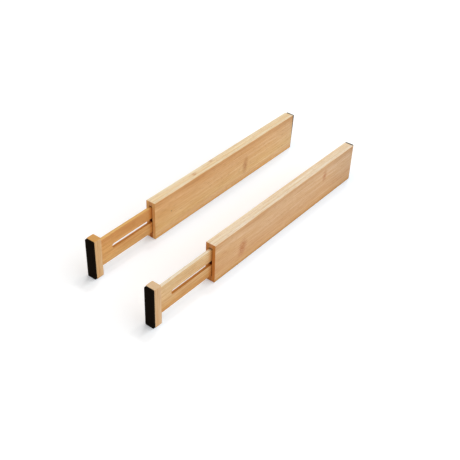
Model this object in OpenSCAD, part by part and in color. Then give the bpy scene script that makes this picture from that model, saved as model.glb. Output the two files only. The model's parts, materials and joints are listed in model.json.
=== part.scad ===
// Set of two expandable bamboo drawer dividers.
// Each divider is a flat housing with a sprung tongue that pushes a padded head out of one end.
// Millimetres, +Z up. The origin is the centre of the first housing's base.
// The tongue leaves each housing towards -X.

/* [Housing] */
// Length of a housing, from its mouth to its closed end
housing_length = 335; // [325:1:500]
// Height of a housing and of the head
housing_height = 60; // [52:0.5:90]
// Thickness of each side panel
panel_thickness = 5; // [4.4:0.1:9]
// Width of the channel between the side panels
channel_width = 5.6; // [4.6:0.1:8]
// Height of the top rail
top_rail_height = 7; // [4:0.1:10]
// Height of the bottom rail
bottom_rail_height = 9.2; // [4:0.1:12]
// Length of the block that closes the far end
end_block_length = 15; // [6:0.5:20]
// Chamfer along the long outer edges of the side panels
panel_ease = 0.8; // [0.2:0.1:1.5]

/* [Tongue] */
// How far the tongue stands out of the housing while the spring is at rest
tongue_reach = 100; // [70:1:110]
// Length of whole wood between the stop slot and the spring slot
slot_bridge = 14; // [6:0.5:20]
// Length of wood behind the spring slot
tail_length = 8; // [4:0.5:14]
// Chamfer along the long edges of the tongue
tongue_ease = 0.4; // [0.1:0.1:1]

/* [Stop] */
// Distance from the mouth to the stop peg
stop_depth = 34.3; // [28:0.1:44]
// Height of the pegs and slots above the base
slot_level = 30.6; // [24:0.1:36]
// Height of the stop slot
stop_slot_height = 6.8; // [6:0.1:12]
// Length of whole wood between the head and the stop slot
stop_slot_margin = 23; // [10:0.5:30]
// Depth of the socket that each end of a peg has in a panel
peg_socket = 2; // [1:0.1:3]
// Diameter of the nail through the stop peg
nail_diameter = 2; // [1.2:0.1:3]
// How far the nail's tip goes into the panel beyond the stop peg
nail_bite = 1.2; // [0.5:0.1:1.4]
// How far the nail is set below the face of its panel
nail_set = 0.3; // [0.1:0.1:0.8]

/* [Spring] */
// Length of the spring while the tongue is out
spring_length = 140; // [130:1:150]
// Number of turns of the spring
spring_turns = 40; // [24:1:48]
// Diameter of the spring wire
wire_diameter = 0.7; // [0.4:0.05:0.9]

/* [Head] */
// Length of the head block along the divider
head_length = 12; // [10:0.5:20]
// Width of the head block across the divider
head_width = 14.6; // [12:0.1:20]
// Depth of the mortise that holds the tongue
mortise_depth = 8; // [4:0.5:8]
// Chamfer on the upright edges of the head
head_ease = 0.6; // [0.2:0.1:1.2]
// Diameter of the brads in the head
brad_diameter = 1.4; // [1:0.1:1.8]
// Length of the brads, under the head
brad_length = 16; // [12:0.5:20]
// Diameter of the brad heads
brad_head_diameter = 2.8; // [2.2:0.1:3.4]
// Thickness of the brad heads
brad_head_thickness = 0.6; // [0.3:0.1:1]
// Distance between the two brads
brad_spacing = 22; // [14:0.5:28]

/* [Pads] */
// Thickness of the foam pads
pad_thickness = 3; // [1:0.1:4]
// Bare wood above and below each pad
pad_margin = 0.1; // [0.1:0.1:2]
// Bare wood on each side of the pad on the head
head_pad_margin = 0.3; // [0.1:0.1:2]
// Bare wood on each side of the pad on the closed end, if it were in the middle
end_pad_margin = 0.8; // [0.6:0.1:3]
// How far the pad on the closed end is stuck to one side
end_pad_shift = 0.6; // [0:0.1:0.6]
// Corner radius of the pads
pad_radius = 1.5; // [0.5:0.1:4]

/* [Fits] */
// Gap on each side of the tongue
slide_gap = 0.5; // [0.15:0.05:0.6]
// Gap above and below the tongue
rail_gap = 1.1; // [0.3:0.1:1.3]
// Gap between a peg and the slot around it
peg_gap = 0.25; // [0.15:0.05:0.5]
// Gap around the spring
spring_gap = 0.3; // [0.2:0.05:0.5]
// Gap between each end of the spring and its seat
seat_gap = 0.2; // [0.1:0.05:0.4]
// Gap between the spring slot's back end and the spring peg
tail_gap = 2; // [1:0.1:4]
// Gap for glue around pegs and in the mortise
glue_gap = 0.05; // [0.02:0.01:0.1]
// Gap around nails and brads
nail_gap = 0.03; // [0.01:0.01:0.05]

/* [Set] */
// Distance between the centre lines of the two dividers
divider_spacing = 123; // [40:1:300]
// How far the second divider stands forward of the first, along X
divider_shift = -20; // [-60:1:60]
// Angle that the second divider stands at, in degrees
divider_turn = -0.75; // [-3:0.05:3]

/* [Hidden] */
$fn = 48;
DIVIDERS = [1, 2];
PIECES = [
    "left_panel", "right_panel", "top_rail", "bottom_rail", "end_block", "end_pad",
    "tongue", "head_block", "head_pad", "head_brads",
    "stop_peg", "stop_nail", "spring", "spring_peg"
];

bamboo_face = "#D3A671";
bamboo_edge = "#E8C795";
bamboo_tongue = "#CB9458";
foam_black = "#17130F";
steel_grey = "#A9A8A4";

// Along the length
mouth_x = -housing_length / 2;
end_x = housing_length / 2;
head_x = mouth_x - tongue_reach;
pad_x = head_x - head_length;
mortise_x = head_x - mortise_depth;

// Across the housing
channel_half = channel_width / 2;
housing_half = channel_half + panel_thickness;

// Up the channel
channel_floor = bottom_rail_height;
channel_roof = housing_height - top_rail_height;
tongue_thickness = channel_width - 2 * slide_gap;
tongue_floor = channel_floor + rail_gap;
tongue_height = channel_roof - channel_floor - 2 * rail_gap;

// Stop peg and the slot around it, which share a centre while the tongue is out
stop_x = mouth_x + stop_depth;
stop_slot_radius = stop_slot_height / 2;
stop_peg_diameter = stop_slot_height - 2 * peg_gap;
stop_slot_start = head_x + stop_slot_margin + stop_slot_radius;

// Spring, its slot in the tongue and the peg that it pushes against
spring_diameter = channel_width - 2 * spring_gap;
coil_radius = (spring_diameter - wire_diameter) / 2;
spring_slot_height = spring_diameter + 2 * spring_gap;
spring_peg_diameter = spring_slot_height - 2 * peg_gap;
spring_slot_start = stop_x + stop_slot_radius + slot_bridge;
spring_start = spring_slot_start + seat_gap;
spring_end = spring_start + spring_length;
spring_peg_x = spring_end + seat_gap + spring_peg_diameter / 2;
spring_slot_end = spring_peg_x + spring_peg_diameter / 2 + tail_gap;
tail_x = spring_slot_end + tail_length;

// Pegs and nail across the housing
peg_length = channel_width + 2 * peg_socket;
nail_start = housing_half - nail_set;
nail_end = channel_half + peg_socket + nail_bite;

// Through cuts run this far past the wood that they cut
overcut = 1;

// Rings on each turn of the spring, and sides of its wire
rings_per_turn = 8;
wire_sides = 6;

// Places a piece on the first or the second divider
module place(divider) {
    if (divider == 1)
        children();
    else
        translate([divider_shift, -divider_spacing, 0])
            rotate([0, 0, divider_turn])
                children();
}

// The side of the divider that its nail is driven from: -1 is the right panel, 1 the left
function nail_side(divider) = divider == 1 ? -1 : 1;

// The side of the divider that the pad on its closed end is stuck towards
function pad_side(divider) = divider == 1 ? -1 : 1;

// A round bar along Y, from one Y to another
module bar_y(diameter, from_y, to_y, x, z) {
    translate([x, to_y, z])
        rotate([90, 0, 0])
            cylinder(d = diameter, h = to_y - from_y);
}

// A board along X with its outline drawn in Y and Z
module board_x(from_x, to_x) {
    translate([from_x, 0, 0])
        rotate([90, 0, 90])
            linear_extrude(height = to_x - from_x)
                children();
}

// A side panel's outline, with the outer corners eased
module panel_outline() {
    polygon([
        [channel_half, 0],
        [housing_half - panel_ease, 0],
        [housing_half, panel_ease],
        [housing_half, housing_height - panel_ease],
        [housing_half - panel_ease, housing_height],
        [channel_half, housing_height]
    ]);
}

// A side panel on the +Y side, with the sockets of the two pegs and the nail's hole
module side_panel(nail_from_here) {
    socket_mouth = channel_half - overcut;
    socket_floor = channel_half + peg_socket;
    nail_hole_end = nail_from_here ? housing_half + overcut : nail_end;
    difference() {
        board_x(mouth_x, end_x)
            panel_outline();
        bar_y(stop_peg_diameter + 2 * glue_gap, socket_mouth, socket_floor, stop_x, slot_level);
        bar_y(spring_peg_diameter + 2 * glue_gap, socket_mouth, socket_floor, spring_peg_x, slot_level);
        bar_y(nail_diameter + 2 * nail_gap, socket_floor - overcut, nail_hole_end, stop_x, slot_level);
    }
}

module left_panel(divider) {
    color(bamboo_face)
        side_panel(nail_side(divider) == 1);
}

module right_panel(divider) {
    color(bamboo_face)
        mirror([0, 1, 0])
            side_panel(nail_side(divider) == -1);
}

// Strip glued between the panels along the whole housing
module rail(from_z, to_z) {
    translate([mouth_x, -channel_half, from_z])
        cube([housing_length, channel_width, to_z - from_z]);
}

module top_rail() {
    color(bamboo_edge)
        rail(channel_roof, housing_height);
}

module bottom_rail() {
    color(bamboo_edge)
        rail(0, channel_floor);
}

module end_block() {
    color(bamboo_edge)
        translate([end_x - end_block_length, -channel_half, channel_floor])
            cube([end_block_length, channel_width, channel_roof - channel_floor]);
}

// A flat foam pad across the divider, with round corners
module pad(from_x, width) {
    half = width / 2;
    height = housing_height - 2 * pad_margin;
    board_x(from_x, from_x + pad_thickness)
        translate([0, pad_margin]) {
            translate([-half, pad_radius])
                square([width, height - 2 * pad_radius]);
            translate([pad_radius - half, 0])
                square([width - 2 * pad_radius, height]);
            for (y = [pad_radius - half, half - pad_radius], z = [pad_radius, height - pad_radius])
                translate([y, z])
                    circle(r = pad_radius);
        }
}

module end_pad(divider) {
    color(foam_black)
        translate([0, pad_side(divider) * end_pad_shift, 0])
            pad(end_x, 2 * (housing_half - end_pad_margin));
}

// The tongue's outline, with its four long edges eased
module tongue_outline() {
    half = tongue_thickness / 2;
    top = tongue_floor + tongue_height;
    polygon([
        [-half + tongue_ease, tongue_floor],
        [half - tongue_ease, tongue_floor],
        [half, tongue_floor + tongue_ease],
        [half, top - tongue_ease],
        [half - tongue_ease, top],
        [-half + tongue_ease, top],
        [-half, top - tongue_ease],
        [-half, tongue_floor + tongue_ease]
    ]);
}

// Round-ended slot through the tongue that the stop peg runs in
module stop_slot() {
    cut = tongue_thickness / 2 + overcut;
    for (x = [stop_slot_start, stop_x])
        bar_y(stop_slot_height, -cut, cut, x, slot_level);
    translate([stop_slot_start, -cut, slot_level - stop_slot_radius])
        cube([stop_x - stop_slot_start, 2 * cut, stop_slot_height]);
}

// Square-ended slot through the tongue that holds the spring and its peg
module spring_slot() {
    cut = tongue_thickness / 2 + overcut;
    translate([spring_slot_start, -cut, slot_level - spring_slot_height / 2])
        cube([spring_slot_end - spring_slot_start, 2 * cut, spring_slot_height]);
}

// Places children at the two brads, with +Z running into the head from its pad
module at_brads() {
    middle = tongue_floor + tongue_height / 2;
    for (z = [middle - brad_spacing / 2, middle + brad_spacing / 2])
        translate([pad_x, 0, z])
            rotate([0, 90, 0])
                children();
}

// A brad with its flat head flush with the head block
module brad() {
    cylinder(d = brad_head_diameter, h = brad_head_thickness);
    cylinder(d = brad_diameter, h = brad_length);
}

// The hole for a brad, with room for its flat head
module brad_hole() {
    translate([0, 0, -overcut])
        cylinder(d = brad_head_diameter + 2 * nail_gap, h = overcut + brad_head_thickness + nail_gap);
    cylinder(d = brad_diameter + 2 * nail_gap, h = brad_length + nail_gap);
}

module tongue() {
    color(bamboo_tongue)
        difference() {
            board_x(mortise_x, tail_x)
                tongue_outline();
            stop_slot();
            spring_slot();
            at_brads()
                brad_hole();
        }
}

// The head block's outline from above, with its upright corners eased
module head_outline() {
    half = head_width / 2;
    polygon([
        [pad_x + head_ease, -half],
        [head_x - head_ease, -half],
        [head_x, -half + head_ease],
        [head_x, half - head_ease],
        [head_x - head_ease, half],
        [pad_x + head_ease, half],
        [pad_x, half - head_ease],
        [pad_x, -half + head_ease]
    ]);
}

module head_block() {
    mortise_half = tongue_thickness / 2 + glue_gap;
    color(bamboo_edge)
        difference() {
            linear_extrude(height = housing_height)
                head_outline();
            translate([mortise_x, -mortise_half, tongue_floor - glue_gap])
                cube([mortise_depth + overcut, 2 * mortise_half, tongue_height + 2 * glue_gap]);
            at_brads()
                brad_hole();
        }
}

module head_pad() {
    color(foam_black)
        pad(pad_x - pad_thickness, head_width - 2 * head_pad_margin);
}

module head_brads() {
    color(steel_grey)
        at_brads()
            brad();
}

module stop_peg() {
    color(bamboo_edge)
        difference() {
            bar_y(stop_peg_diameter, -peg_length / 2, peg_length / 2, stop_x, slot_level);
            bar_y(nail_diameter + 2 * nail_gap, -peg_length, peg_length, stop_x, slot_level);
        }
}

module stop_nail(divider) {
    from_y = nail_side(divider) == 1 ? -nail_end : -nail_start;
    color(steel_grey)
        bar_y(nail_diameter, from_y, from_y + nail_start + nail_end, stop_x, slot_level);
}

module spring_peg() {
    color(bamboo_edge)
        bar_y(spring_peg_diameter, -peg_length / 2, peg_length / 2, spring_peg_x, slot_level);
}

// Centre line of the spring wire. Both ends run straight along X for one wire diameter.
coil_length = spring_length - 2 * wire_diameter;
coil_steps = spring_turns * rings_per_turn;
function coil_point(i) = [
    spring_start + wire_diameter + coil_length * i / coil_steps,
    coil_radius * cos(360 * i / rings_per_turn),
    slot_level + coil_radius * sin(360 * i / rings_per_turn)
];
wire_path = concat(
    [[spring_start, coil_radius, slot_level]],
    [for (i = [0 : coil_steps]) coil_point(i)],
    [[spring_end, coil_radius, slot_level]]
);

// Direction of the wire at each point of its centre line
function unit(v) = v / norm(v);
function wire_direction(path, i) =
    i == 0 ? unit(path[1] - path[0]) :
    i == len(path) - 1 ? unit(path[i] - path[i - 1]) :
    unit(unit(path[i + 1] - path[i]) + unit(path[i] - path[i - 1]));

// A ring of points around the wire, turned so that neighbouring rings line up
function outward(path, i) =
    let (p = path[i], out = [0, p[1], p[2] - slot_level], along = wire_direction(path, i))
    unit(out - (out * along) * along);
function wire_ring(path, i) =
    let (out = outward(path, i), side = cross(wire_direction(path, i), out))
    [for (k = [0 : wire_sides - 1])
        path[i] + wire_diameter / 2 * (cos(360 * k / wire_sides) * out + sin(360 * k / wire_sides) * side)];

// One unbroken tube of triangles along a path
module wire_tube(path) {
    last = len(path) - 1;
    points = [for (i = [0 : last], p = wire_ring(path, i)) p];
    walls = [
        for (i = [0 : last - 1], k = [0 : wire_sides - 1])
            let (a = i * wire_sides + k, b = i * wire_sides + (k + 1) % wire_sides)
                each [[a, b + wire_sides, b], [a, a + wire_sides, b + wire_sides]]
    ];
    end = last * wire_sides;
    first_cap = [for (k = [1 : wire_sides - 2]) [0, k, k + 1]];
    last_cap = [for (k = [1 : wire_sides - 2]) [end, end + k + 1, end + k]];
    polyhedron(points = points, faces = concat(walls, first_cap, last_cap));
}

// Least gap between one turn of the wire and the next, measured on the points of its centre line
spring_own_gap = min([
    for (i = [0 : len(wire_path) - 1 - rings_per_turn], k = [rings_per_turn / 2 : rings_per_turn + 2])
        if (i + k < len(wire_path)) norm(wire_path[i + k] - wire_path[i])
]) - wire_diameter;
echo(least_gap_between_spring_turns = spring_own_gap);

module spring() {
    color(steel_grey)
        wire_tube(wire_path);
}

for (d = DIVIDERS) {
    place(d) left_panel(d);
    place(d) right_panel(d);
    place(d) top_rail();
    place(d) bottom_rail();
    place(d) end_block();
    place(d) end_pad(d);
    place(d) tongue();
    place(d) head_block();
    place(d) head_pad();
    place(d) head_brads();
    place(d) stop_peg();
    place(d) stop_nail(d);
    place(d) spring();
    place(d) spring_peg();
}
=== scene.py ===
# Looks of a set of two expandable bamboo drawer dividers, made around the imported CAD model.
# Pieces are drawn in millimetres in a divider's own axes, then placed in metres in the CAD frame.
import json
import math

import bmesh
import bpy
from mathutils import Matrix, Vector


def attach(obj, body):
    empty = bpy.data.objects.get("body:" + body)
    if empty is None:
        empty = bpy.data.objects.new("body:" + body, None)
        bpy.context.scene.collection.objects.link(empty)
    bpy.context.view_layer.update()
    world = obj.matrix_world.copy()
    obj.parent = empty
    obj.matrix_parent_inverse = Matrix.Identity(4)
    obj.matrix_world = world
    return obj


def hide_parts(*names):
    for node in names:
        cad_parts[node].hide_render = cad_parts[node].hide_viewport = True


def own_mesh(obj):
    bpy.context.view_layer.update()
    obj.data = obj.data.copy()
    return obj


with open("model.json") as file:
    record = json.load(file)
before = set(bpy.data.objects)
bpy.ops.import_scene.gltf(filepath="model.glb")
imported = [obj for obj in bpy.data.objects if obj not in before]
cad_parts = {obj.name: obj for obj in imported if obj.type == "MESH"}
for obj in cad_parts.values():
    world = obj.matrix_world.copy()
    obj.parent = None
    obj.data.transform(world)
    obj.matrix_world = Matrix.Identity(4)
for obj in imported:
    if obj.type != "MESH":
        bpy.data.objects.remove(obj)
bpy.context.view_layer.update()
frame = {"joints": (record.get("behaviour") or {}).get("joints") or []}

# Sizes in millimetres, the same as in the part's source
MM = 0.001
HOUSING_LENGTH = 335
HOUSING_HEIGHT = 60
PANEL_THICKNESS = 5
CHANNEL_WIDTH = 5.6
TOP_RAIL_HEIGHT = 7
BOTTOM_RAIL_HEIGHT = 9.2
END_BLOCK_LENGTH = 15
TONGUE_REACH = 100
SLOT_BRIDGE = 14
TAIL_LENGTH = 8
STOP_DEPTH = 34.3
SLOT_LEVEL = 30.6
STOP_SLOT_HEIGHT = 6.8
STOP_SLOT_MARGIN = 23
PEG_SOCKET = 2
NAIL_DIAMETER = 2
NAIL_BITE = 1.2
NAIL_SET = 0.3
SPRING_LENGTH = 140
SPRING_TURNS = 40
WIRE_DIAMETER = 0.7
HEAD_LENGTH = 12
HEAD_WIDTH = 14.6
MORTISE_DEPTH = 8
BRAD_DIAMETER = 1.4
BRAD_LENGTH = 16
BRAD_HEAD_DIAMETER = 2.8
BRAD_HEAD_THICKNESS = 0.6
BRAD_SPACING = 22
PAD_THICKNESS = 3
PAD_MARGIN = 0.1
HEAD_PAD_MARGIN = 0.3
END_PAD_MARGIN = 0.8
END_PAD_SHIFT = 0.6
PAD_RADIUS = 1.5
SLIDE_GAP = 0.5
RAIL_GAP = 1.1
PEG_GAP = 0.25
SPRING_GAP = 0.3
SEAT_GAP = 0.2
TAIL_GAP = 2
GLUE_GAP = 0.05
NAIL_GAP = 0.03

# Roundings and small forms that only the looks need. NAIL_FLAT and BRAD_FLAT are shares of a radius,
# and CLOSED_PITCH is the climb of a closed turn in wire radii.
PANEL_ROUND = 1.0
TONGUE_ROUND = 0.45
HEAD_ROUND = 0.9
RIM_ROUND = 0.8
SEAM_ROUND = 0.12
HEAD_EASE = 0.6
PEG_CHAMFER = 0.3
NAIL_POINT = 1.0
NAIL_DISH = 0.1
NAIL_FLAT = 0.6
NAIL_EASE = 0.15
BRAD_POINT = 1.5
BRAD_DISH = 0.05
BRAD_FLAT = 0.8
BRAD_EASE = 0.15
FOAM_CORNER = 0.3
CLOSED_TURNS = 1.25
CLOSED_PITCH = 2.3
WIRE_SIDES = 8
STEPS_PER_TURN = 24
OVERCUT = 1

# Places that follow from the sizes
MOUTH_X = -HOUSING_LENGTH / 2
END_X = HOUSING_LENGTH / 2
HEAD_X = MOUTH_X - TONGUE_REACH
PAD_X = HEAD_X - HEAD_LENGTH
MORTISE_X = HEAD_X - MORTISE_DEPTH
CHANNEL_HALF = CHANNEL_WIDTH / 2
HOUSING_HALF = CHANNEL_HALF + PANEL_THICKNESS
CHANNEL_FLOOR = BOTTOM_RAIL_HEIGHT
CHANNEL_ROOF = HOUSING_HEIGHT - TOP_RAIL_HEIGHT
TONGUE_HALF = CHANNEL_HALF - SLIDE_GAP
TONGUE_FLOOR = CHANNEL_FLOOR + RAIL_GAP
TONGUE_TOP = CHANNEL_ROOF - RAIL_GAP
STOP_X = MOUTH_X + STOP_DEPTH
STOP_SLOT_RADIUS = STOP_SLOT_HEIGHT / 2
STOP_PEG_RADIUS = STOP_SLOT_RADIUS - PEG_GAP
STOP_SLOT_START = HEAD_X + STOP_SLOT_MARGIN + STOP_SLOT_RADIUS
SPRING_RADIUS = CHANNEL_HALF - SPRING_GAP
SPRING_SLOT_HALF = SPRING_RADIUS + SPRING_GAP
SPRING_PEG_RADIUS = SPRING_SLOT_HALF - PEG_GAP
SPRING_SLOT_START = STOP_X + STOP_SLOT_RADIUS + SLOT_BRIDGE
SPRING_START = SPRING_SLOT_START + SEAT_GAP
SPRING_END = SPRING_START + SPRING_LENGTH
SPRING_PEG_X = SPRING_END + SEAT_GAP + SPRING_PEG_RADIUS
SPRING_SLOT_END = SPRING_PEG_X + SPRING_PEG_RADIUS + TAIL_GAP
TAIL_X = SPRING_SLOT_END + TAIL_LENGTH
SOCKET_FLOOR = CHANNEL_HALF + PEG_SOCKET
NAIL_START = HOUSING_HALF - NAIL_SET
NAIL_END = SOCKET_FLOOR + NAIL_BITE
BRAD_LEVELS = [(TONGUE_FLOOR + TONGUE_TOP + side * BRAD_SPACING) / 2 for side in (-1, 1)]

# Where each divider stands, in millimetres and degrees, the side that its nail is driven from,
# and how far its end pad is stuck off the middle and askew, as by hand
SHIFT = {1: (0, 0, 0), 2: (-20, -123, 0)}
TURN = {1: 0.0, 2: math.radians(-0.75)}
NAIL_SIDE = {1: -1, 2: 1}
PAD_SHIFT = {1: 0.1, 2: END_PAD_SHIFT}
PAD_TILT = {1: math.radians(1.8), 2: 0.0}
PLACE = {
    d: Matrix.Translation(Vector(SHIFT[d]) * MM) @ Matrix.Rotation(TURN[d], 4, "Z") @ Matrix.Scale(MM, 4)
    for d in SHIFT
}

# The photograph's view
CAMERA_PLACE = Vector((-0.80156, -0.59776, 0.65679))
CAMERA_TARGET = Vector((-0.0825, -0.0733, 0.0))
CAMERA_ROLL = math.radians(2.53)
CAMERA_LENS = 60.7

# Light levels, where 1 on a white surface is white. Lamps and sky together give 1 on a face that
# looks up. The floor's own lift makes it white to the camera without lighting the part.
SKY_LEVEL_LEFT = 0.52
SKY_LEVEL_RIGHT = 0.32
FLOOR_LIFT = 0.22
FLOOR_SIZE = 12.0
FLOOR_DEPTH = 0.1

# White lamps: level, direction that they shine from, and width of the beam in degrees.
# A wide softbox gives the soft part of the shadow, two narrow keys give its edge,
# and a wide fill lights the near sides.
LAMPS = {
    "softbox": (0.13, (0.5, 0.0, 1.0), 45),
    "far_key": (0.12, (0.42, 0.165, 1.0), 5),
    "near_key": (0.12, (0.42, -0.07, 1.0), 5),
    "fill": (0.43, (0.6, -1.0, 0.8), 70),
}


def linear(tone):
    """An sRGB hex colour as linear red, green, blue and alpha."""
    shares = [int(tone[i : i + 2], 16) / 255 for i in (1, 3, 5)]
    return [s / 12.92 if s <= 0.04045 else ((s + 0.055) / 1.055) ** 2.4 for s in shares] + [1.0]


def add(tree, kind, inputs=None, out=0, **settings):
    """Adds a node with its settings, sets or links its inputs, and gives the output that out names."""
    node = tree.nodes.new(kind)
    for name, value in settings.items():
        setattr(node, name, value)
    for name, value in (inputs or {}).items():
        if isinstance(value, bpy.types.NodeSocket):
            tree.links.new(value, node.inputs[name])
        else:
            node.inputs[name].default_value = value
    return node.outputs[out] if node.outputs else node


def new_material(name):
    """An empty node material, and its tree."""
    material = bpy.data.materials.new(name)
    material.use_nodes = True
    material.node_tree.nodes.clear()
    return material, material.node_tree


def own_axes(tree, divider):
    """Object coordinates turned into a divider's own axes, in metres."""
    coordinates = add(tree, "ShaderNodeTexCoord", out="Object")
    place = Vector(SHIFT[divider]) * MM
    turn = (0, 0, TURN[divider])
    return add(
        tree,
        "ShaderNodeMapping",
        {"Vector": coordinates, "Location": place, "Rotation": turn},
        vector_type="TEXTURE",
    )


GRAIN_ROUGHNESS = 0.6


def grained(tree, own, size, grain, detail):
    """Noise drawn out along the grain. size is the length and the width of its marks in millimetres."""
    scale = [1 / (size[1] * MM)] * 3
    scale[grain] = 1 / (size[0] * MM)
    axes = add(tree, "ShaderNodeMapping", {"Vector": own, "Scale": scale})
    return add(
        tree,
        "ShaderNodeTexNoise",
        {"Vector": axes, "Scale": 1, "Detail": detail, "Roughness": GRAIN_ROUGHNESS},
    )


def toned(tree, place, tones):
    """A colour that follows a place on an axis. tones pairs places in millimetres with colours."""
    low, high = tones[0][0], tones[-1][0]
    share = add(tree, "ShaderNodeMapRange", {"Value": place, "From Min": low * MM, "From Max": high * MM})
    colour = add(tree, "ShaderNodeValToRGB", {"Fac": share})
    stops = colour.node.color_ramp.elements
    for at, _ in tones[1:-1]:
        stops.new((at - low) / (high - low))
    for stop, (at, tone) in zip(stops, tones):
        stop.position = (at - low) / (high - low)
        stop.color = linear(tone)
    return colour


# Bamboo. Strips of split cane are glued side by side, planed and sealed with a thin satin lacquer.
# The eye gets straight fibres, long soft streaks, fine brown dashes of cut vessels and a spotted
# brown band at each knuckle. Markings have a length and a width in millimetres.
ALONG = 0
UPRIGHT = 2
PATCH = (110, 10)
STREAK = (150, 1.6)
FIBRE = (36, 0.9)
DASH = (9, 0.5)
SPOT = (3.6, 1.1)
STREAK_TONE = "#E6CDAD"
TONGUE_STREAK_TONE = "#DABFA4"
DASH_TONE = "#B0713A"
KNUCKLE_TONE = "#B46B33"

# How strongly each marking darkens the wood, and the span of its noise that does so
STREAKING = ((PATCH, 0.35, 0.65, 0.25), (STREAK, 0.32, 0.68, 0.5), (FIBRE, 0.32, 0.68, 0.6))
DASH_LOW = 0.6
DASH_HIGH = 0.72
DASH_DEPTH = 0.55
SPOT_LOW = 0.38
SPOT_HIGH = 0.64
SPOT_GROUND = 0.2

# How far the lacquer's roughness goes below and above its middle, and the relief of the fibres
GLOSS_BELOW = 0.05
GLOSS_ABOVE = 0.07
FIBRE_RELIEF = 0.06
FIBRE_BUMP = 0.2


def bamboo(
    name, divider, tones, streak=STREAK_TONE, grain=ALONG, marks=(), shade_run=(), roughness=0.5, shine=0.3
):
    """Bamboo along its grain. tones follow the height of the board, and run, a painted shade, tints it
    along its length.
    """
    material, tree = new_material(name)
    own = own_axes(tree, divider)
    places = add(tree, "ShaderNodeSeparateXYZ", {0: own}).node.outputs
    colour = toned(tree, places["Z"], tones)

    dark = 0.0
    for size, low, high, depth in STREAKING:
        marking = grained(tree, own, size, grain, 3)
        part = add(
            tree,
            "ShaderNodeMapRange",
            {"Value": marking, "From Min": low, "From Max": high, "To Max": depth},
        )
        dark = add(tree, "ShaderNodeMath", {0: part, 1: dark}, operation="ADD")
    stain = add(
        tree, "ShaderNodeMix", {0: dark, 6: (1, 1, 1, 1), 7: linear(streak)}, out=2, data_type="RGBA"
    )
    colour = add(
        tree,
        "ShaderNodeMix",
        {0: 1.0, 6: colour, 7: stain},
        out=2,
        data_type="RGBA",
        blend_type="MULTIPLY",
    )
    dashes = grained(tree, own, DASH, grain, 1)
    dashes = add(
        tree,
        "ShaderNodeMapRange",
        {"Value": dashes, "From Min": DASH_LOW, "From Max": DASH_HIGH, "To Max": DASH_DEPTH},
    )
    colour = add(
        tree, "ShaderNodeMix", {0: dashes, 6: colour, 7: linear(DASH_TONE)}, out=2, data_type="RGBA"
    )

    if marks:
        # A knuckle is a slanting band of brown spots across the board
        spots = grained(tree, own, SPOT, grain, 3)
        spots = add(
            tree,
            "ShaderNodeMapRange",
            {"Value": spots, "From Min": SPOT_LOW, "From Max": SPOT_HIGH, "To Min": SPOT_GROUND},
        )
        total = 0.0
        for x, z, half_width, half_height, slant, strength in marks:
            axes = add(
                tree,
                "ShaderNodeMapping",
                {
                    "Vector": own,
                    "Location": (x * MM, 0, z * MM),
                    "Rotation": (0, math.radians(slant), 0),
                    "Scale": (half_width * MM, 1, half_height * MM),
                },
                vector_type="TEXTURE",
            )
            band = add(tree, "ShaderNodeTexGradient", {0: axes}, out="Fac", gradient_type="SPHERICAL")
            total = add(
                tree, "ShaderNodeMath", {0: band, 1: strength, 2: total}, operation="MULTIPLY_ADD"
            )
        total = add(tree, "ShaderNodeMath", {0: total, 1: spots}, operation="MULTIPLY", use_clamp=True)
        colour = add(
            tree, "ShaderNodeMix", {0: total, 6: colour, 7: linear(KNUCKLE_TONE)}, out=2, data_type="RGBA"
        )
    # The tint along the length is painted shade.
    if shade_run:
        tint = toned(tree, places["X"], shade_run)
        colour = add(
            tree,
            "ShaderNodeMix",
            {0: 1.0, 6: colour, 7: tint},
            out=2,
            data_type="RGBA",
            blend_type="MULTIPLY",
        )

    gloss = add(
        tree,
        "ShaderNodeMapRange",
        {"Value": dark, "To Min": roughness - GLOSS_BELOW, "To Max": roughness + GLOSS_ABOVE},
    )
    bump = add(
        tree, "ShaderNodeBump", {"Strength": FIBRE_BUMP, "Distance": FIBRE_RELIEF * MM, "Height": dark}
    )
    shader = add(
        tree,
        "ShaderNodeBsdfPrincipled",
        {"Base Color": colour, "Roughness": gloss, "Normal": bump, "Specular IOR Level": shine},
    )
    add(tree, "ShaderNodeOutputMaterial", {"Surface": shader})
    return material


# Sawn end grain of bamboo. Cut fibre bundles show as brown dots, closer than a millimetre,
# on a dull darker ground.
BUNDLE_SPACING = 0.9
BUNDLE_LENGTH = 40
BUNDLE_CORE = 0.18
BUNDLE_RIM = 0.42
SAWN_PATCH = (40, 4)
SAWN_RELIEF = 0.08
SAWN_BUMP = 0.4
SAWN_ROUGHNESS = 0.65
SAWN_SHINE = 0.2


def end_grain(name, divider, ground, dots, grain=ALONG):
    """Bamboo cut across its grain, with dots of one tone on a ground of another."""
    material, tree = new_material(name)
    own = own_axes(tree, divider)
    scale = [1 / (BUNDLE_SPACING * MM)] * 3
    scale[grain] = 1 / (BUNDLE_LENGTH * MM)
    axes = add(tree, "ShaderNodeMapping", {"Vector": own, "Scale": scale})
    bundles = add(tree, "ShaderNodeTexVoronoi", {"Vector": axes, "Scale": 1}, out="Distance")
    dot = add(
        tree,
        "ShaderNodeMapRange",
        {"Value": bundles, "From Min": BUNDLE_CORE, "From Max": BUNDLE_RIM, "To Min": 1, "To Max": 0},
    )
    patch = grained(tree, own, SAWN_PATCH, grain, 3)
    dot = add(tree, "ShaderNodeMath", {0: dot, 1: patch}, operation="MULTIPLY")
    colour = add(
        tree, "ShaderNodeMix", {0: dot, 6: linear(ground), 7: linear(dots)}, out=2, data_type="RGBA"
    )
    bump = add(
        tree, "ShaderNodeBump", {"Strength": SAWN_BUMP, "Distance": SAWN_RELIEF * MM, "Height": bundles}
    )
    shader = add(
        tree,
        "ShaderNodeBsdfPrincipled",
        {
            "Base Color": colour,
            "Roughness": SAWN_ROUGHNESS,
            "Normal": bump,
            "Specular IOR Level": SAWN_SHINE,
        },
    )
    add(tree, "ShaderNodeOutputMaterial", {"Surface": shader})
    return material


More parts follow.
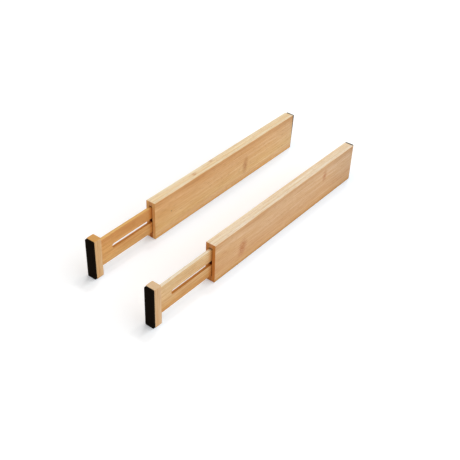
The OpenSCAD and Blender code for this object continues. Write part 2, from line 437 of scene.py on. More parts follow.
# Closed-cell rubber foam, die-cut from sheet. The skin is near black and matt, with pores that
# catch no light. Sizes are in millimetres.
PORE_SIZE = 0.6
FOAM_PATCH = 5.56
FOAM_DARK = "#0F0A05"
FOAM_PALE = "#1F150D"
PORE_RELIEF = 0.15
PORE_BUMP = 0.5
FOAM_ROUGHNESS = 0.95
FOAM_SHINE = 0.03


def foam(name):
    """Matt black foam, uneven in tone and pitted with pores."""
    material, tree = new_material(name)
    coordinates = add(tree, "ShaderNodeTexCoord", out="Object")
    pore_scale = 1 / (PORE_SIZE * MM)
    patch_scale = 1 / (FOAM_PATCH * MM)
    pores = add(
        tree, "ShaderNodeTexVoronoi", {"Vector": coordinates, "Scale": pore_scale}, out="Distance"
    )
    patch = add(tree, "ShaderNodeTexNoise", {"Vector": coordinates, "Scale": patch_scale, "Detail": 4})
    mixed = add(tree, "ShaderNodeMath", {0: pores, 1: patch}, operation="MULTIPLY")
    colour = add(
        tree,
        "ShaderNodeMix",
        {0: mixed, 6: linear(FOAM_DARK), 7: linear(FOAM_PALE)},
        out=2,
        data_type="RGBA",
    )
    bump = add(
        tree, "ShaderNodeBump", {"Strength": PORE_BUMP, "Distance": PORE_RELIEF * MM, "Height": pores}
    )
    shader = add(
        tree,
        "ShaderNodeBsdfPrincipled",
        {
            "Base Color": colour,
            "Roughness": FOAM_ROUGHNESS,
            "Normal": bump,
            "Specular IOR Level": FOAM_SHINE,
        },
    )
    add(tree, "ShaderNodeOutputMaterial", {"Surface": shader})
    return material


# Drawn steel wire. Small uneven marks of the drawing die break up a soft grey shine.
# Their size is in millimetres.
DIE_MARK = 1.11
POLISH_BELOW = 0.08
POLISH_ABOVE = 0.12


def steel(name, tone, shade, roughness):
    """Steel between two tones, with its roughness uneven in the same places."""
    material, tree = new_material(name)
    coordinates = add(tree, "ShaderNodeTexCoord", out="Object")
    mark_scale = 1 / (DIE_MARK * MM)
    patch = add(tree, "ShaderNodeTexNoise", {"Vector": coordinates, "Scale": mark_scale, "Detail": 5})
    colour = add(
        tree, "ShaderNodeMix", {0: patch, 6: linear(tone), 7: linear(shade)}, out=2, data_type="RGBA"
    )
    gloss = add(
        tree,
        "ShaderNodeMapRange",
        {"Value": patch, "To Min": roughness - POLISH_BELOW, "To Max": roughness + POLISH_ABOVE},
    )
    shader = add(
        tree,
        "ShaderNodeBsdfPrincipled",
        {"Base Color": colour, "Roughness": gloss, "Metallic": 1.0},
    )
    add(tree, "ShaderNodeOutputMaterial", {"Surface": shader})
    return material


# Shapes
def box(low, high):
    """A closed box between two corners."""
    shape = bmesh.new()
    bmesh.ops.create_cube(shape, size=1)
    size = Vector(high) - Vector(low)
    middle = (Vector(high) + Vector(low)) / 2
    place = Matrix.Translation(middle) @ Matrix.Diagonal(size).to_4x4()
    bmesh.ops.transform(shape, matrix=place, verts=shape.verts)
    return shape


def prism(outline, axis, start, end):
    """A closed prism with an outline across X or Y, from one place on that axis to another."""
    shape = bmesh.new()
    corners = []
    for u, v in outline:
        corners.append(shape.verts.new((start, u, v) if axis == "X" else (u, start, v)))
    face = shape.faces.new(corners)
    grown = bmesh.ops.extrude_face_region(shape, geom=[face])
    moved = [part for part in grown["geom"] if isinstance(part, bmesh.types.BMVert)]
    step = Vector((end - start, 0, 0)) if axis == "X" else Vector((0, end - start, 0))
    bmesh.ops.translate(shape, vec=step, verts=moved)
    bmesh.ops.recalc_face_normals(shape, faces=shape.faces)
    return shape


def arc(u, v, radius, start, end, steps):
    """Points on part of a circle, between two angles in degrees."""
    angles = [math.radians(start + (end - start) * i / steps) for i in range(steps + 1)]
    return [(u + radius * math.cos(a), v + radius * math.sin(a)) for a in angles]


def circle(u, v, radius, steps=48):
    """Points on a whole circle, with none doubled."""
    return arc(u, v, radius, 0, 360, steps)[:-1]


def rounded_ring(half_u, half_v, radius, steps=6):
    """Outline of a rectangle with round corners, centred on zero."""
    u, v = half_u - radius, half_v - radius
    corners = [(u, v, 0), (-u, v, 90), (-u, -v, 180), (u, -v, 270)]
    return [point for cu, cv, turn in corners for point in arc(cu, cv, radius, turn, turn + 90, steps)]


def turned(profile, axis, closed=False, steps=40):
    """A shape turned about X or Y from a profile of (place, radius). A closed profile leaves a bore."""
    shape = bmesh.new()
    rings = []
    for place, radius in profile:
        points = circle(0, 0, radius, steps) if radius else [(0, 0)]
        places = [(place, u, v) if axis == "X" else (u, place, v) for u, v in points]
        rings.append([shape.verts.new(point) for point in places])
    pairs = list(zip(rings, rings[1:]))
    if closed:
        pairs.append((rings[-1], rings[0]))
    for first, second in pairs:
        for i in range(steps):
            k = (i + 1) % steps
            corners = [first[i % len(first)], first[k % len(first)]]
            corners += [second[k % len(second)], second[i % len(second)]]
            shape.faces.new(list(dict.fromkeys(corners)))
    bmesh.ops.recalc_face_normals(shape, faces=shape.faces)
    return shape


def round_edges(shape, axis, radius, side=0):
    """Rounds the edges of a box along an axis: all of them, or those on one side of it in Y."""
    middle = sum((v.co.y for v in shape.verts)) / len(shape.verts)
    chosen = []
    for edge in shape.edges:
        start, end = (v.co for v in edge.verts)
        along = abs((end - start).normalized()[axis]) > 0.9
        if along and (side == 0 or (start.y - middle) * side > 0):
            chosen.append(edge)
    bmesh.ops.bevel(shape, geom=chosen, offset=radius, segments=4, profile=0.5, affect="EDGES")


def as_object(name, shape):
    """Puts a shape into the scene as an object."""
    mesh = bpy.data.meshes.new(name)
    shape.to_mesh(mesh)
    shape.free()
    piece = bpy.data.objects.new(name, mesh)
    bpy.context.scene.collection.objects.link(piece)
    return piece


def settle(piece):
    """Turns an object's modifiers into plain mesh."""
    bpy.context.view_layer.update()
    graph = bpy.context.evaluated_depsgraph_get()
    mesh = bpy.data.meshes.new_from_object(piece.evaluated_get(graph))
    piece.modifiers.clear()
    piece.data = mesh


def carve(piece, cutters):
    """Cuts shapes out of a piece."""
    tools = [as_object("cutter", shape) for shape in cutters]
    for tool in tools:
        cut = piece.modifiers.new("cut", "BOOLEAN")
        cut.operation = "DIFFERENCE"
        cut.solver = "EXACT"
        cut.object = tool
    settle(piece)
    for tool in tools:
        bpy.data.objects.remove(tool)


def ease(piece, width):
    """Rounds every edge of a piece that is still sharp."""
    round_over = piece.modifiers.new("ease", "BEVEL")
    round_over.limit_method = "ANGLE"
    round_over.angle_limit = math.radians(50)
    round_over.width = width
    round_over.segments = 2
    settle(piece)


def smooth(piece, angle=40):
    """Shades a turned piece smooth, but for edges sharper than an angle in degrees."""
    piece.data.polygons.foreach_set("use_smooth", [True] * len(piece.data.polygons))
    piece.data.set_sharp_from_angle(angle=math.radians(angle))


def finish_faces(piece, finishes, pick):
    """Gives each face one of the finishes, picked by its direction and its middle."""
    piece.data.materials.clear()
    for finish in finishes:
        piece.data.materials.append(finish)
    for face in piece.data.polygons:
        face.material_index = pick(face.normal, face.center)


def fit(piece, divider, body, node):
    """Places a finished piece on its divider, in the stead of a CAD node."""
    piece.data.transform(PLACE[divider])
    piece.data.update()
    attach(piece, f"divider{divider}_{body}")
    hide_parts(f"divider{divider}_{node}")


# A face looks along an axis where its normal's share of that axis is above this
SQUARE_ON = 0.75
# A face of the tongue belongs to its wide sides, with their rounded rims, above this share across
TONGUE_SIDE = 0.3
# Reach past the channel's walls within which a face still counts as inside
WALL_REACH = 0.1


def long_grain(normal, centre):
    """Finish 0 on wide faces, 1 on edges and 2 on sawn ends."""
    if abs(normal.x) > SQUARE_ON:
        return 2
    return 1 if abs(normal.z) > SQUARE_ON else 0


def housing_grain(normal, centre):
    """As long_grain, with finish 3, the painted shade, inside the channel."""
    if abs(normal.x) > SQUARE_ON:
        return 2
    between = abs(centre.y) < CHANNEL_HALF + WALL_REACH
    level = CHANNEL_FLOOR - WALL_REACH < centre.z < CHANNEL_ROOF + WALL_REACH
    return 3 if between and level else long_grain(normal, centre)


# Housing
def side_board(divider, side, finishes):
    """One of the two boards of a housing, with its outer edges rounded and sockets for the pegs."""
    name = "left" if side > 0 else "right"
    across = sorted((side * CHANNEL_HALF, side * HOUSING_HALF))
    shape = box((MOUTH_X, across[0], 0), (END_X, across[1], HOUSING_HEIGHT))
    round_edges(shape, ALONG, PANEL_ROUND, side)
    piece = as_object(f"divider{divider}_{name}_board", shape)
    nail_end = HOUSING_HALF + OVERCUT if side == NAIL_SIDE[divider] else NAIL_END
    sockets = [
        (STOP_X, STOP_PEG_RADIUS + GLUE_GAP, CHANNEL_HALF - OVERCUT, SOCKET_FLOOR),
        (SPRING_PEG_X, SPRING_PEG_RADIUS + GLUE_GAP, CHANNEL_HALF - OVERCUT, SOCKET_FLOOR),
        (STOP_X, NAIL_DIAMETER / 2 + NAIL_GAP, SOCKET_FLOOR - OVERCUT, nail_end),
    ]
    carve(piece, [prism(circle(x, SLOT_LEVEL, r), "Y", side * a, side * b) for x, r, a, b in sockets])
    ease(piece, SEAM_ROUND)
    finish_faces(piece, finishes, housing_grain)
    fit(piece, divider, "housing", f"{name}_panel")


def filler(divider, name, node, low, high, finishes):
    """A strip or block glued between the side boards."""
    piece = as_object(f"divider{divider}_{name}", box(low, high))
    ease(piece, SEAM_ROUND)
    finish_faces(piece, finishes, housing_grain)
    fit(piece, divider, "housing", node)


def peg(divider, name, node, x, radius, bore, finish):
    """A dowel across the channel, with its ends chamfered. A bore takes the nail."""
    reach = CHANNEL_HALF + PEG_SOCKET
    tip = radius - PEG_CHAMFER
    profile = [
        (-reach, bore),
        (-reach, tip),
        (PEG_CHAMFER - reach, radius),
        (reach - PEG_CHAMFER, radius),
        (reach, tip),
        (reach, bore),
    ]
    piece = as_object(f"divider{divider}_{name}", turned(profile, "Y", closed=bore > 0))
    piece.data.transform(Matrix.Translation((x, 0, SLOT_LEVEL)))
    smooth(piece)
    finish_faces(piece, [finish], lambda normal, centre: 0)
    fit(piece, divider, "housing", node)


def nail(divider, finish):
    """A wire nail with its end set below the board and a point at its tip."""
    radius = NAIL_DIAMETER / 2
    side = NAIL_SIDE[divider]
    profile = [
        (-NAIL_START + NAIL_DISH, 0),
        (-NAIL_START, radius * NAIL_FLAT),
        (-NAIL_START + NAIL_EASE, radius),
        (NAIL_END - NAIL_POINT, radius),
        (NAIL_END, 0),
    ]
    driven = [(-side * place, r) for place, r in profile]
    piece = as_object(f"divider{divider}_wire_nail", turned(driven, "Y", steps=24))
    piece.data.transform(Matrix.Translation((STOP_X, 0, SLOT_LEVEL)))
    smooth(piece)
    finish_faces(piece, [finish], lambda normal, centre: 0)
    fit(piece, divider, "housing", "stop_nail")


# Inset from the pad's outline in millimetres and share of its thickness, from its glued face to its crown
FOAM_RINGS = [
    (0.08, 0), (0, 0.05), (0, 0.9), (0.05, 0.94), (0.15, 0.97),
    (0.4, 0.98), (2, 0.988), (4, 0.996), (6, 1),
]


def pad(divider, name, node, body, face_x, direction, width, finish, shift=0, tilt=0):
    """A die-cut foam pad with eased edges and a slight crown, glued to the wood at face_x."""
    half_width = width / 2
    half_height = HOUSING_HEIGHT / 2 - PAD_MARGIN - half_width * math.sin(tilt)
    place = Matrix.Translation((0, shift, HOUSING_HEIGHT / 2)) @ Matrix.Rotation(tilt, 4, "X")
    shape = bmesh.new()
    rings = []
    for inset, height in FOAM_RINGS:
        radius = max(PAD_RADIUS - inset, FOAM_CORNER)
        outline = rounded_ring(half_width - inset, half_height - inset, radius)
        x = face_x + direction * height * PAD_THICKNESS
        rings.append([shape.verts.new(place @ Vector((x, y, z))) for y, z in outline])
    for first, second in zip(rings, rings[1:]):
        for i in range(len(first)):
            k = (i + 1) % len(first)
            shape.faces.new((first[i], first[k], second[k], second[i]))
    shape.faces.new(rings[0])
    shape.faces.new(rings[-1])
    bmesh.ops.recalc_face_normals(shape, faces=shape.faces)
    piece = as_object(f"divider{divider}_{name}", shape)
    smooth(piece, 60)
    finish_faces(piece, [finish], lambda normal, centre: 0)
    fit(piece, divider, body, node)


# Slider
def tongue(divider, finishes):
    """The sliding board, with the stop slot that shows and the spring slot that stays inside."""
    shape = box((MORTISE_X, -TONGUE_HALF, TONGUE_FLOOR), (TAIL_X, TONGUE_HALF, TONGUE_TOP))
    round_edges(shape, ALONG, TONGUE_ROUND)
    piece = as_object(f"divider{divider}_sliding_tongue", shape)
    reach = TONGUE_HALF + OVERCUT
    stop_slot = arc(STOP_X, SLOT_LEVEL, STOP_SLOT_RADIUS, -90, 90, 20)
    stop_slot += arc(STOP_SLOT_START, SLOT_LEVEL, STOP_SLOT_RADIUS, 90, 270, 20)
    spring_slot = [
        (SPRING_SLOT_START, SLOT_LEVEL - SPRING_SLOT_HALF),
        (SPRING_SLOT_END, SLOT_LEVEL - SPRING_SLOT_HALF),
        (SPRING_SLOT_END, SLOT_LEVEL + SPRING_SLOT_HALF),
        (SPRING_SLOT_START, SLOT_LEVEL + SPRING_SLOT_HALF),
    ]
    carve(piece, [prism(stop_slot, "Y", -reach, reach)])
    ease(piece, RIM_ROUND)
    cuts = [prism(spring_slot, "Y", -reach, reach)]
    for level in BRAD_LEVELS:
        hole = circle(0, level, BRAD_DIAMETER / 2 + NAIL_GAP, 24)
        cuts.append(prism(hole, "X", MORTISE_X - OVERCUT, PAD_X + BRAD_LENGTH + NAIL_GAP))
    carve(piece, cuts)

    def pick(normal, centre):
        in_slot = abs(centre.z - SLOT_LEVEL) < STOP_SLOT_HEIGHT and abs(normal.y) < TONGUE_SIDE
        if in_slot:
            return 3
        return 0 if abs(normal.y) > TONGUE_SIDE else long_grain(normal, centre)

    finish_faces(piece, finishes, pick)
    fit(piece, divider, "slider", "tongue")


def head(divider, finishes):
    """The upright block on the tongue's end, with the mortise for the tongue and holes for the brads."""
    half = HEAD_WIDTH / 2
    shape = box((PAD_X, -half, 0), (HEAD_X, half, HOUSING_HEIGHT))
    round_edges(shape, UPRIGHT, HEAD_ROUND)
    piece = as_object(f"divider{divider}_head", shape)
    ease(piece, HEAD_EASE)
    room = TONGUE_HALF + GLUE_GAP
    mortise = box(
        (MORTISE_X, -room, TONGUE_FLOOR - GLUE_GAP), (HEAD_X + OVERCUT, room, TONGUE_TOP + GLUE_GAP)
    )
    cuts = [mortise]
    for level in BRAD_LEVELS:
        shank = circle(0, level, BRAD_DIAMETER / 2 + NAIL_GAP, 24)
        flat = circle(0, level, BRAD_HEAD_DIAMETER / 2 + NAIL_GAP, 24)
        cuts.append(prism(shank, "X", PAD_X - OVERCUT, MORTISE_X + OVERCUT))
        cuts.append(prism(flat, "X", PAD_X - OVERCUT, PAD_X + BRAD_HEAD_THICKNESS + NAIL_GAP))
    carve(piece, cuts)
    finish_faces(piece, finishes, lambda normal, centre: 1 if abs(normal.z) > SQUARE_ON else 0)
    fit(piece, divider, "slider", "head_block")


# What repeats or winds is grown by Geometry Nodes
def new_tree(name, inputs):
    """A geometry tree with named inputs, and the sockets that give them."""
    tree = bpy.data.node_groups.new(name, "GeometryNodeTree")
    tree.interface.new_socket("Geometry", in_out="OUTPUT", socket_type="NodeSocketGeometry")
    for label, kind in inputs.items():
        tree.interface.new_socket(label, in_out="INPUT", socket_type=kind)
    given = add(tree, "NodeGroupInput").node.outputs
    return tree, given


def grow(name, tree, values):
    """A piece made by a geometry tree from named values, as plain mesh."""
    piece = as_object(name, bmesh.new())
    grower = piece.modifiers.new("grow", "NODES")
    grower.node_group = tree
    for item in tree.interface.items_tree:
        if item.in_out == "INPUT":
            grower[item.identifier] = values[item.name]
    settle(piece)
    return piece


def close_tree(tree, shape, finish):
    """Ends a tree in real geometry with its finish."""
    shape = add(tree, "GeometryNodeRealizeInstances", {0: shape})
    shape = add(tree, "GeometryNodeSetMaterial", {"Geometry": shape, "Material": finish})
    add(tree, "NodeGroupOutput", {0: shape})


def spring_tree():
    """A compression spring along X: open turns between closed ends."""
    tree, given = new_tree(
        "spring",
        {
            "Turns": "NodeSocketFloat",
            "Closed Turns": "NodeSocketFloat",
            "Length": "NodeSocketFloat",
            "Coil Radius": "NodeSocketFloat",
            "Wire Radius": "NodeSocketFloat",
            "Steps": "NodeSocketInt",
            "Finish": "NodeSocketMaterial",
        },
    )
    points = add(tree, "ShaderNodeMath", {0: given["Steps"], 1: 1}, operation="ADD")
    line = add(tree, "GeometryNodeMeshLine", {"Count": points})
    index = add(tree, "GeometryNodeInputIndex")
    share = add(tree, "ShaderNodeMath", {0: index, 1: given["Steps"]}, operation="DIVIDE")
    angle = add(tree, "ShaderNodeMath", {0: share, 1: given["Turns"]}, operation="MULTIPLY")
    angle = add(tree, "ShaderNodeMath", {0: angle, 1: math.tau}, operation="MULTIPLY")

    # The wire climbs slowly over the closed turns at each end, and evenly between them
    first = add(tree, "ShaderNodeMath", {0: given["Closed Turns"], 1: given["Turns"]}, operation="DIVIDE")
    last = add(tree, "ShaderNodeMath", {0: 1, 1: first}, operation="SUBTRACT")
    closed = add(
        tree,
        "ShaderNodeMath",
        {0: given["Closed Turns"], 1: given["Wire Radius"]},
        operation="MULTIPLY",
    )
    closed = add(tree, "ShaderNodeMath", {0: closed, 1: CLOSED_PITCH}, operation="MULTIPLY")
    ends = add(tree, "ShaderNodeMath", {0: closed, 1: given["Wire Radius"]}, operation="ADD")
    middle = add(tree, "ShaderNodeMath", {0: ends, 1: -2, 2: given["Length"]}, operation="MULTIPLY_ADD")
    place = given["Wire Radius"]
    for start, end, rise in ((0, first, closed), (first, last, middle), (last, 1, closed)):
        climbed = add(
            tree,
            "ShaderNodeMapRange",
            {"Value": share, "From Min": start, "From Max": end, "To Max": rise},
        )
        place = add(tree, "ShaderNodeMath", {0: place, 1: climbed}, operation="ADD")
    across = add(tree, "ShaderNodeMath", {0: angle}, operation="COSINE")
    across = add(tree, "ShaderNodeMath", {0: across, 1: given["Coil Radius"]}, operation="MULTIPLY")
    upward = add(tree, "ShaderNodeMath", {0: angle}, operation="SINE")
    upward = add(tree, "ShaderNodeMath", {0: upward, 1: given["Coil Radius"]}, operation="MULTIPLY")
    position = add(tree, "ShaderNodeCombineXYZ", {"X": place, "Y": across, "Z": upward})
    line = add(tree, "GeometryNodeSetPosition", {"Geometry": line, "Position": position})
    path = add(tree, "GeometryNodeMeshToCurve", {0: line})
    ring = add(
        tree,
        "GeometryNodeCurvePrimitiveCircle",
        {"Resolution": WIRE_SIDES, "Radius": given["Wire Radius"]},
    )
    wire = add(
        tree, "GeometryNodeCurveToMesh", {"Curve": path, "Profile Curve": ring, "Fill Caps": True}
    )
    wire = add(tree, "GeometryNodeSetShadeSmooth", {"Geometry": wire})
    close_tree(tree, wire, given["Finish"])
    return tree


def brad_tree():
    """A row of brads, one above the other."""
    tree, given = new_tree(
        "brad_row",
        {
            "Brad": "NodeSocketObject",
            "Count": "NodeSocketInt",
            "Spacing": "NodeSocketFloat",
            "Finish": "NodeSocketMaterial",
        },
    )
    step = add(tree, "ShaderNodeCombineXYZ", {"Z": given["Spacing"]})
    row = add(tree, "GeometryNodeMeshLine", {"Count": given["Count"], "Offset": step})
    brad = add(tree, "GeometryNodeObjectInfo", {"Object": given["Brad"]}, out="Geometry")
    brads = add(tree, "GeometryNodeInstanceOnPoints", {"Points": row, "Instance": brad})
    close_tree(tree, brads, given["Finish"])
    return tree


def spring(divider, tree, finish):
    """The spring rides on its housing, between its seat and the spring peg."""
    values = {
        "Turns": SPRING_TURNS,
        "Closed Turns": CLOSED_TURNS,
        "Length": SPRING_LENGTH,
        "Coil Radius": SPRING_RADIUS - WIRE_DIAMETER / 2,
        "Wire Radius": WIRE_DIAMETER / 2,
        "Steps": SPRING_TURNS * STEPS_PER_TURN,
        "Finish": finish,
    }
    piece = grow(f"divider{divider}_coil_spring", tree, values)
    piece.data.transform(Matrix.Translation((SPRING_START, 0, SLOT_LEVEL)))
    fit(piece, divider, "housing", "spring")
    slide = next(joint for joint in frame["joints"] if joint["name"] == f"divider{divider}_slide")
    travel = max(slide["range_m"]) / MM
    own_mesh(piece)


def brads(divider, tree, finish):
    """Two flat-headed brads that hold the head to the tongue, under the pad."""
    radius = BRAD_DIAMETER / 2
    flat = BRAD_HEAD_DIAMETER / 2
    profile = [
        (BRAD_DISH, 0),
        (0, flat * BRAD_FLAT),
        (BRAD_EASE, flat),
        (BRAD_HEAD_THICKNESS, flat),
        (BRAD_HEAD_THICKNESS, radius),
        (BRAD_LENGTH - BRAD_POINT, radius),
        (BRAD_LENGTH, 0),
    ]
    single = as_object("single_brad", turned(profile, "X", steps=24))
    smooth(single)
    values = {"Brad": single, "Count": len(BRAD_LEVELS), "Spacing": BRAD_SPACING, "Finish": finish}
    piece = grow(f"divider{divider}_brad_pair", tree, values)
    bpy.data.objects.remove(single)
    piece.data.transform(Matrix.Translation((PAD_X, 0, BRAD_LEVELS[0])))
    fit(piece, divider, "slider", "head_brads")


# Finishes of each divider. Boards and tongues have a tone at each height, in millimetres.
# The boards' tones are partly the strips' own colour and partly painted shade, darker at the bottom and
# the top.
# The boards' edge tones and divider 2's tongue edge, on faces that look up or down, are near white:
# partly the wood's own paler edge, partly painted light of the lit tops.
TONES = {
    1: {
        "board": [
            (2.8, "#F0C981"), (6, "#F7DBAF"), (15, "#F7DDA7"), (30, "#F7D9A7"),
            (42, "#F5D5A5"), (50, "#F3D09F"), (57, "#E5BB86"),
        ],
        "edge": "#F7EED5",
        "far_edge": "#F7EDD2",
        "rail_edge": "#F7E7C4",
        "tongue": [(15, "#F3CC86"), (21.5, "#F3C67F"), (39.5, "#F2C279"), (46.5, "#EEBB75")],
        "tongue_edge": "#E5BE77",
        "slot": "#D69540",
        "head": "#E9C999",
        "head_end": ("#D19B57", "#B27B3F"),
        "panel_end": ("#ECB26D", "#CA8F46"),
        "rail_end": ("#D99A63", "#B3753E"),
        "shaded_foot_end": ("#B56A2B", "#8F4F1B"),
    },
    2: {
        "board": [
            (2.8, "#CCA35C"), (6, "#E2C194"), (15, "#DDB98E"), (30, "#E0C19B"),
            (42, "#E4C7A2"), (50, "#E3C8A7"), (57, "#D8B58C"),
        ],
        "edge": "#F7F0E2",
        "far_edge": "#F7E9CF",
        "rail_edge": "#F7ECD7",
        "tongue": [(15, "#E0B26B"), (21.5, "#E7C38A"), (39.5, "#F2DAAB"), (46.5, "#F2DEB2")],
        "tongue_edge": "#F6F2E3",
        "slot": "#D59540",
        "head": "#E1C39B",
        "head_end": ("#DAB991", "#BC9266"),
        "panel_end": ("#D48840", "#AF682A"),
        "rail_end": ("#D08F59", "#A86C38"),
        "shaded_foot_end": ("#C57B39", "#9A5921"),
    },
}
# Faces inside the channel get a dark tone: painted shade, where little light gets in.
CHANNEL_SHADE_TONE = "#5C3415"

# Knuckles on the boards: place along and up the board, half width, half height, slant and strength
KNUCKLES = {
    (1, "right"): [(39.5, 25, 8, 18, 8, 1.2)],
    (1, "left"): [(-62, 40, 8, 14, -10, 1.4), (118, 20, 7, 13, 6, 1.2)],
    (2, "right"): [(-109.5, 25, 11, 16, 18, 1.5), (89.5, 43, 7, 13, 8, 1.3)],
    (2, "left"): [(20, 18, 8, 14, -12, 1.6), (-134, 44, 6, 12, 9, 1.2)],
    (1, "rail"): [(-75, 60, 6, 8, 0, 0.8)],
    (1, "far"): [(-31, 60, 6, 8, 0, 0.8)],
}

# Painted shade along the length. The boards are warmest at the mouth and darker at the far end.
# The tongue darkens from 8 mm outside the mouth to dark brown inside it, where the housing shades it.
BOARD_SHADE_RUN = [(MOUTH_X, "#FEF8EC"), (-40, "#FEFCFA"), (90, "#FFFFFF"), (END_X, "#EDEBED")]
TONGUE_SHADE_RUN = [(MOUTH_X - 8, "#FFFFFF"), (MOUTH_X - 0.5, "#F6D6A6"), (MOUTH_X + 1, "#8A5428")]

foam_black = foam("closed_cell_foam")
nail_steel = steel("blued_steel_nail", "#4A4038", "#2A231E", 0.5)
brad_steel = steel("bright_steel_brad", "#B5B3AF", "#8E8B86", 0.3)
spring_steel = steel("zinc_plated_spring_wire", "#C3C4C6", "#9FA1A5", 0.28)
springs = spring_tree()
brad_rows = brad_tree()


def plain(tone):
    """One tone from the bottom of a board to its top."""
    return [(0, tone), (HOUSING_HEIGHT, tone)]


for d in SHIFT:
    tones = TONES[d]
    channel_shade = bamboo(f"channel_shade_bamboo_{d}", d, plain(CHANNEL_SHADE_TONE), roughness=0.8, shine=0)
    panel_end = end_grain(f"bamboo_panel_end_{d}", d, *tones["panel_end"])
    rail_end = end_grain(f"bamboo_rail_end_{d}", d, *tones["rail_end"])
    # The bottom strip's end is darker than the top strip's: painted contact shade at the foot.
    shaded_foot_end = end_grain(f"bamboo_foot_end_{d}", d, *tones["shaded_foot_end"])
    rail_marks = KNUCKLES.get((d, "rail"), ())
    rail_edge = bamboo(f"bamboo_rail_{d}", d, plain(tones["rail_edge"]), marks=rail_marks)
    for side, label, edge_tone in ((1, "left", "far_edge"), (-1, "right", "edge")):
        face_marks = KNUCKLES[d, label]
        face = bamboo(
            f"bamboo_{label}_board_{d}", d, tones["board"], marks=face_marks, shade_run=BOARD_SHADE_RUN
        )
        edge_marks = KNUCKLES.get((d, "far"), ()) if side > 0 else ()
        edge = bamboo(f"bamboo_{label}_edge_{d}", d, plain(tones[edge_tone]), marks=edge_marks)
        side_board(d, side, [face, edge, panel_end, channel_shade])
    rail_finishes = [rail_edge, rail_edge, rail_end, channel_shade]
    half = CHANNEL_HALF
    filler(
        d,
        "top_strip",
        "top_rail",
        (MOUTH_X, -half, CHANNEL_ROOF),
        (END_X, half, HOUSING_HEIGHT),
        rail_finishes,
    )
    foot_finishes = [rail_edge, rail_edge, shaded_foot_end, channel_shade]
    filler(
        d,
        "bottom_strip",
        "bottom_rail",
        (MOUTH_X, -half, 0),
        (END_X, half, CHANNEL_FLOOR),
        foot_finishes,
    )
    filler(
        d,
        "end_filler",
        "end_block",
        (END_X - END_BLOCK_LENGTH, -half, CHANNEL_FLOOR),
        (END_X, half, CHANNEL_ROOF),
        rail_finishes,
    )
    peg(d, "stop_dowel", "stop_peg", STOP_X, STOP_PEG_RADIUS, NAIL_DIAMETER / 2 + NAIL_GAP, rail_edge)
    peg(d, "spring_dowel", "spring_peg", SPRING_PEG_X, SPRING_PEG_RADIUS, 0, rail_edge)
    nail(d, nail_steel)
    spring(d, springs, spring_steel)
    pad(
        d,
        "end_foam",
        "end_pad",
        "housing",
        END_X,
        1,
        2 * (HOUSING_HALF - END_PAD_MARGIN),
        foam_black,
        PAD_SHIFT[d],
        PAD_TILT[d],
    )

    tongue_face = bamboo(f"bamboo_tongue_{d}", d, tones["tongue"], TONGUE_STREAK_TONE, shade_run=TONGUE_SHADE_RUN)
    tongue_edge = bamboo(f"bamboo_tongue_edge_{d}", d, plain(tones["tongue_edge"]), shade_run=TONGUE_SHADE_RUN)
    slot_wall = bamboo(f"bamboo_slot_wall_{d}", d, plain(tones["slot"]), shade_run=TONGUE_SHADE_RUN)
    tongue(d, [tongue_face, tongue_edge, panel_end, slot_wall])
    head_side = bamboo(f"bamboo_head_{d}", d, plain(tones["head"]), grain=UPRIGHT)
    head_end = end_grain(f"bamboo_head_end_{d}", d, *tones["head_end"], grain=UPRIGHT)
    head(d, [head_side, head_end])
    brads(d, brad_rows, brad_steel)
    pad(d, "head_foam", "head_pad", "slider", PAD_X, -1, HEAD_WIDTH - 2 * HEAD_PAD_MARGIN, foam_black)


# Stage: a white floor that keeps the shadow, a white surround, the lamps and the camera
def seen_directly(tree):
    """1 for what the camera sees itself, in a mirror or through glass, else 0."""
    path = add(tree, "ShaderNodeLightPath").node.outputs
    seen = add(
        tree,
        "ShaderNodeMath",
        {0: path["Is Camera Ray"], 1: path["Is Glossy Ray"]},
        operation="MAXIMUM",
    )
    return add(tree, "ShaderNodeMath", {0: seen, 1: path["Is Transmission Ray"]}, operation="MAXIMUM")


# White card. It takes the shadow. Beside the boards it is toned cool, against the warm light that
# they throw on it, so that the shadow stays grey. The outlook is the side that the boards are looked
# for on, and the reach is in millimetres.
CARD_TONE = "#F0F0F0"
SHADE_TONE = "#CFE8FF"
SHADE_REACH = 40
OUTLOOK = Vector((-1, 1, 1)).normalized()

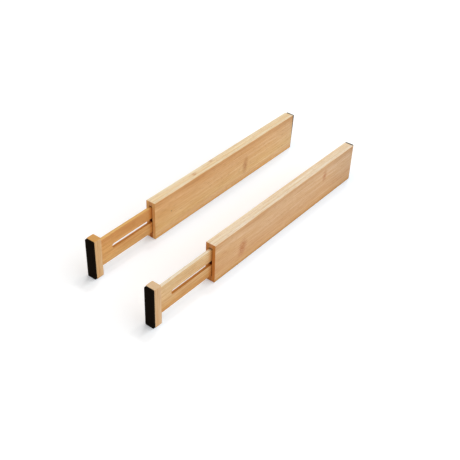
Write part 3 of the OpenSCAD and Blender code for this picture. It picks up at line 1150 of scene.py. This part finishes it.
white, tree = new_material("white_card")
outlook = add(tree, "ShaderNodeCombineXYZ", {"X": OUTLOOK.x, "Y": OUTLOOK.y, "Z": OUTLOOK.z})
clear = add(
    tree,
    "ShaderNodeAmbientOcclusion",
    {"Distance": SHADE_REACH * MM, "Normal": outlook},
    out="AO",
)
tone = add(
    tree,
    "ShaderNodeMix",
    {0: clear, 6: linear(SHADE_TONE), 7: linear(CARD_TONE)},
    out=2,
    data_type="RGBA",
)
seen_card = add(tree, "ShaderNodeBsdfDiffuse", {"Color": tone})
plain_card = add(tree, "ShaderNodeBsdfDiffuse", {"Color": linear(CARD_TONE)})
glow = add(tree, "ShaderNodeEmission", {"Color": (1, 1, 1, 1), "Strength": FLOOR_LIFT})
lifted = add(tree, "ShaderNodeAddShader", {0: seen_card, 1: glow})
surface = add(tree, "ShaderNodeMixShader", {0: seen_directly(tree), 1: plain_card, 2: lifted})
add(tree, "ShaderNodeOutputMaterial", {"Surface": surface})
card = bmesh.new()
bmesh.ops.create_grid(card, x_segments=1, y_segments=1, size=FLOOR_SIZE / 2)
floor = as_object("floor", card)
floor.data.transform(Matrix.Translation((0, 0, -FLOOR_DEPTH * MM)))
floor.data.materials.append(white)

world = bpy.data.worlds.new("studio")
world.use_nodes = True
world.node_tree.nodes.clear()
tree = world.node_tree
direction = add(tree, "ShaderNodeTexCoord", out="Generated")
rightward = add(tree, "ShaderNodeSeparateXYZ", {0: direction}, out="X")
lit = add(
    tree,
    "ShaderNodeMapRange",
    {"Value": rightward, "From Min": -1, "To Min": SKY_LEVEL_LEFT, "To Max": SKY_LEVEL_RIGHT},
)
level = add(tree, "ShaderNodeMapRange", {"Value": seen_directly(tree), "To Min": lit, "To Max": 1.0})
sky = add(tree, "ShaderNodeBackground", {"Color": (1, 1, 1, 1), "Strength": level})
add(tree, "ShaderNodeOutputWorld", {"Surface": sky})
bpy.context.scene.world = world


for name, (level, direction, width) in LAMPS.items():
    lamp = bpy.data.lights.new(name, "SUN")
    lamp.energy = level * math.pi
    lamp.angle = math.radians(width)
    holder = bpy.data.objects.new(name, lamp)
    holder.rotation_euler = Vector(direction).to_track_quat("Z", "Y").to_euler()
    bpy.context.scene.collection.objects.link(holder)

camera = bpy.data.objects.new("camera", bpy.data.cameras.new("camera"))
camera.data.lens = CAMERA_LENS
camera.location = CAMERA_PLACE
look = (CAMERA_TARGET - CAMERA_PLACE).to_track_quat("-Z", "Y").to_matrix()
camera.rotation_euler = (look @ Matrix.Rotation(CAMERA_ROLL, 3, "Z")).to_euler()
bpy.context.scene.collection.objects.link(camera)
bpy.context.scene.camera = camera
bpy.context.scene.view_settings.view_transform = "Standard"
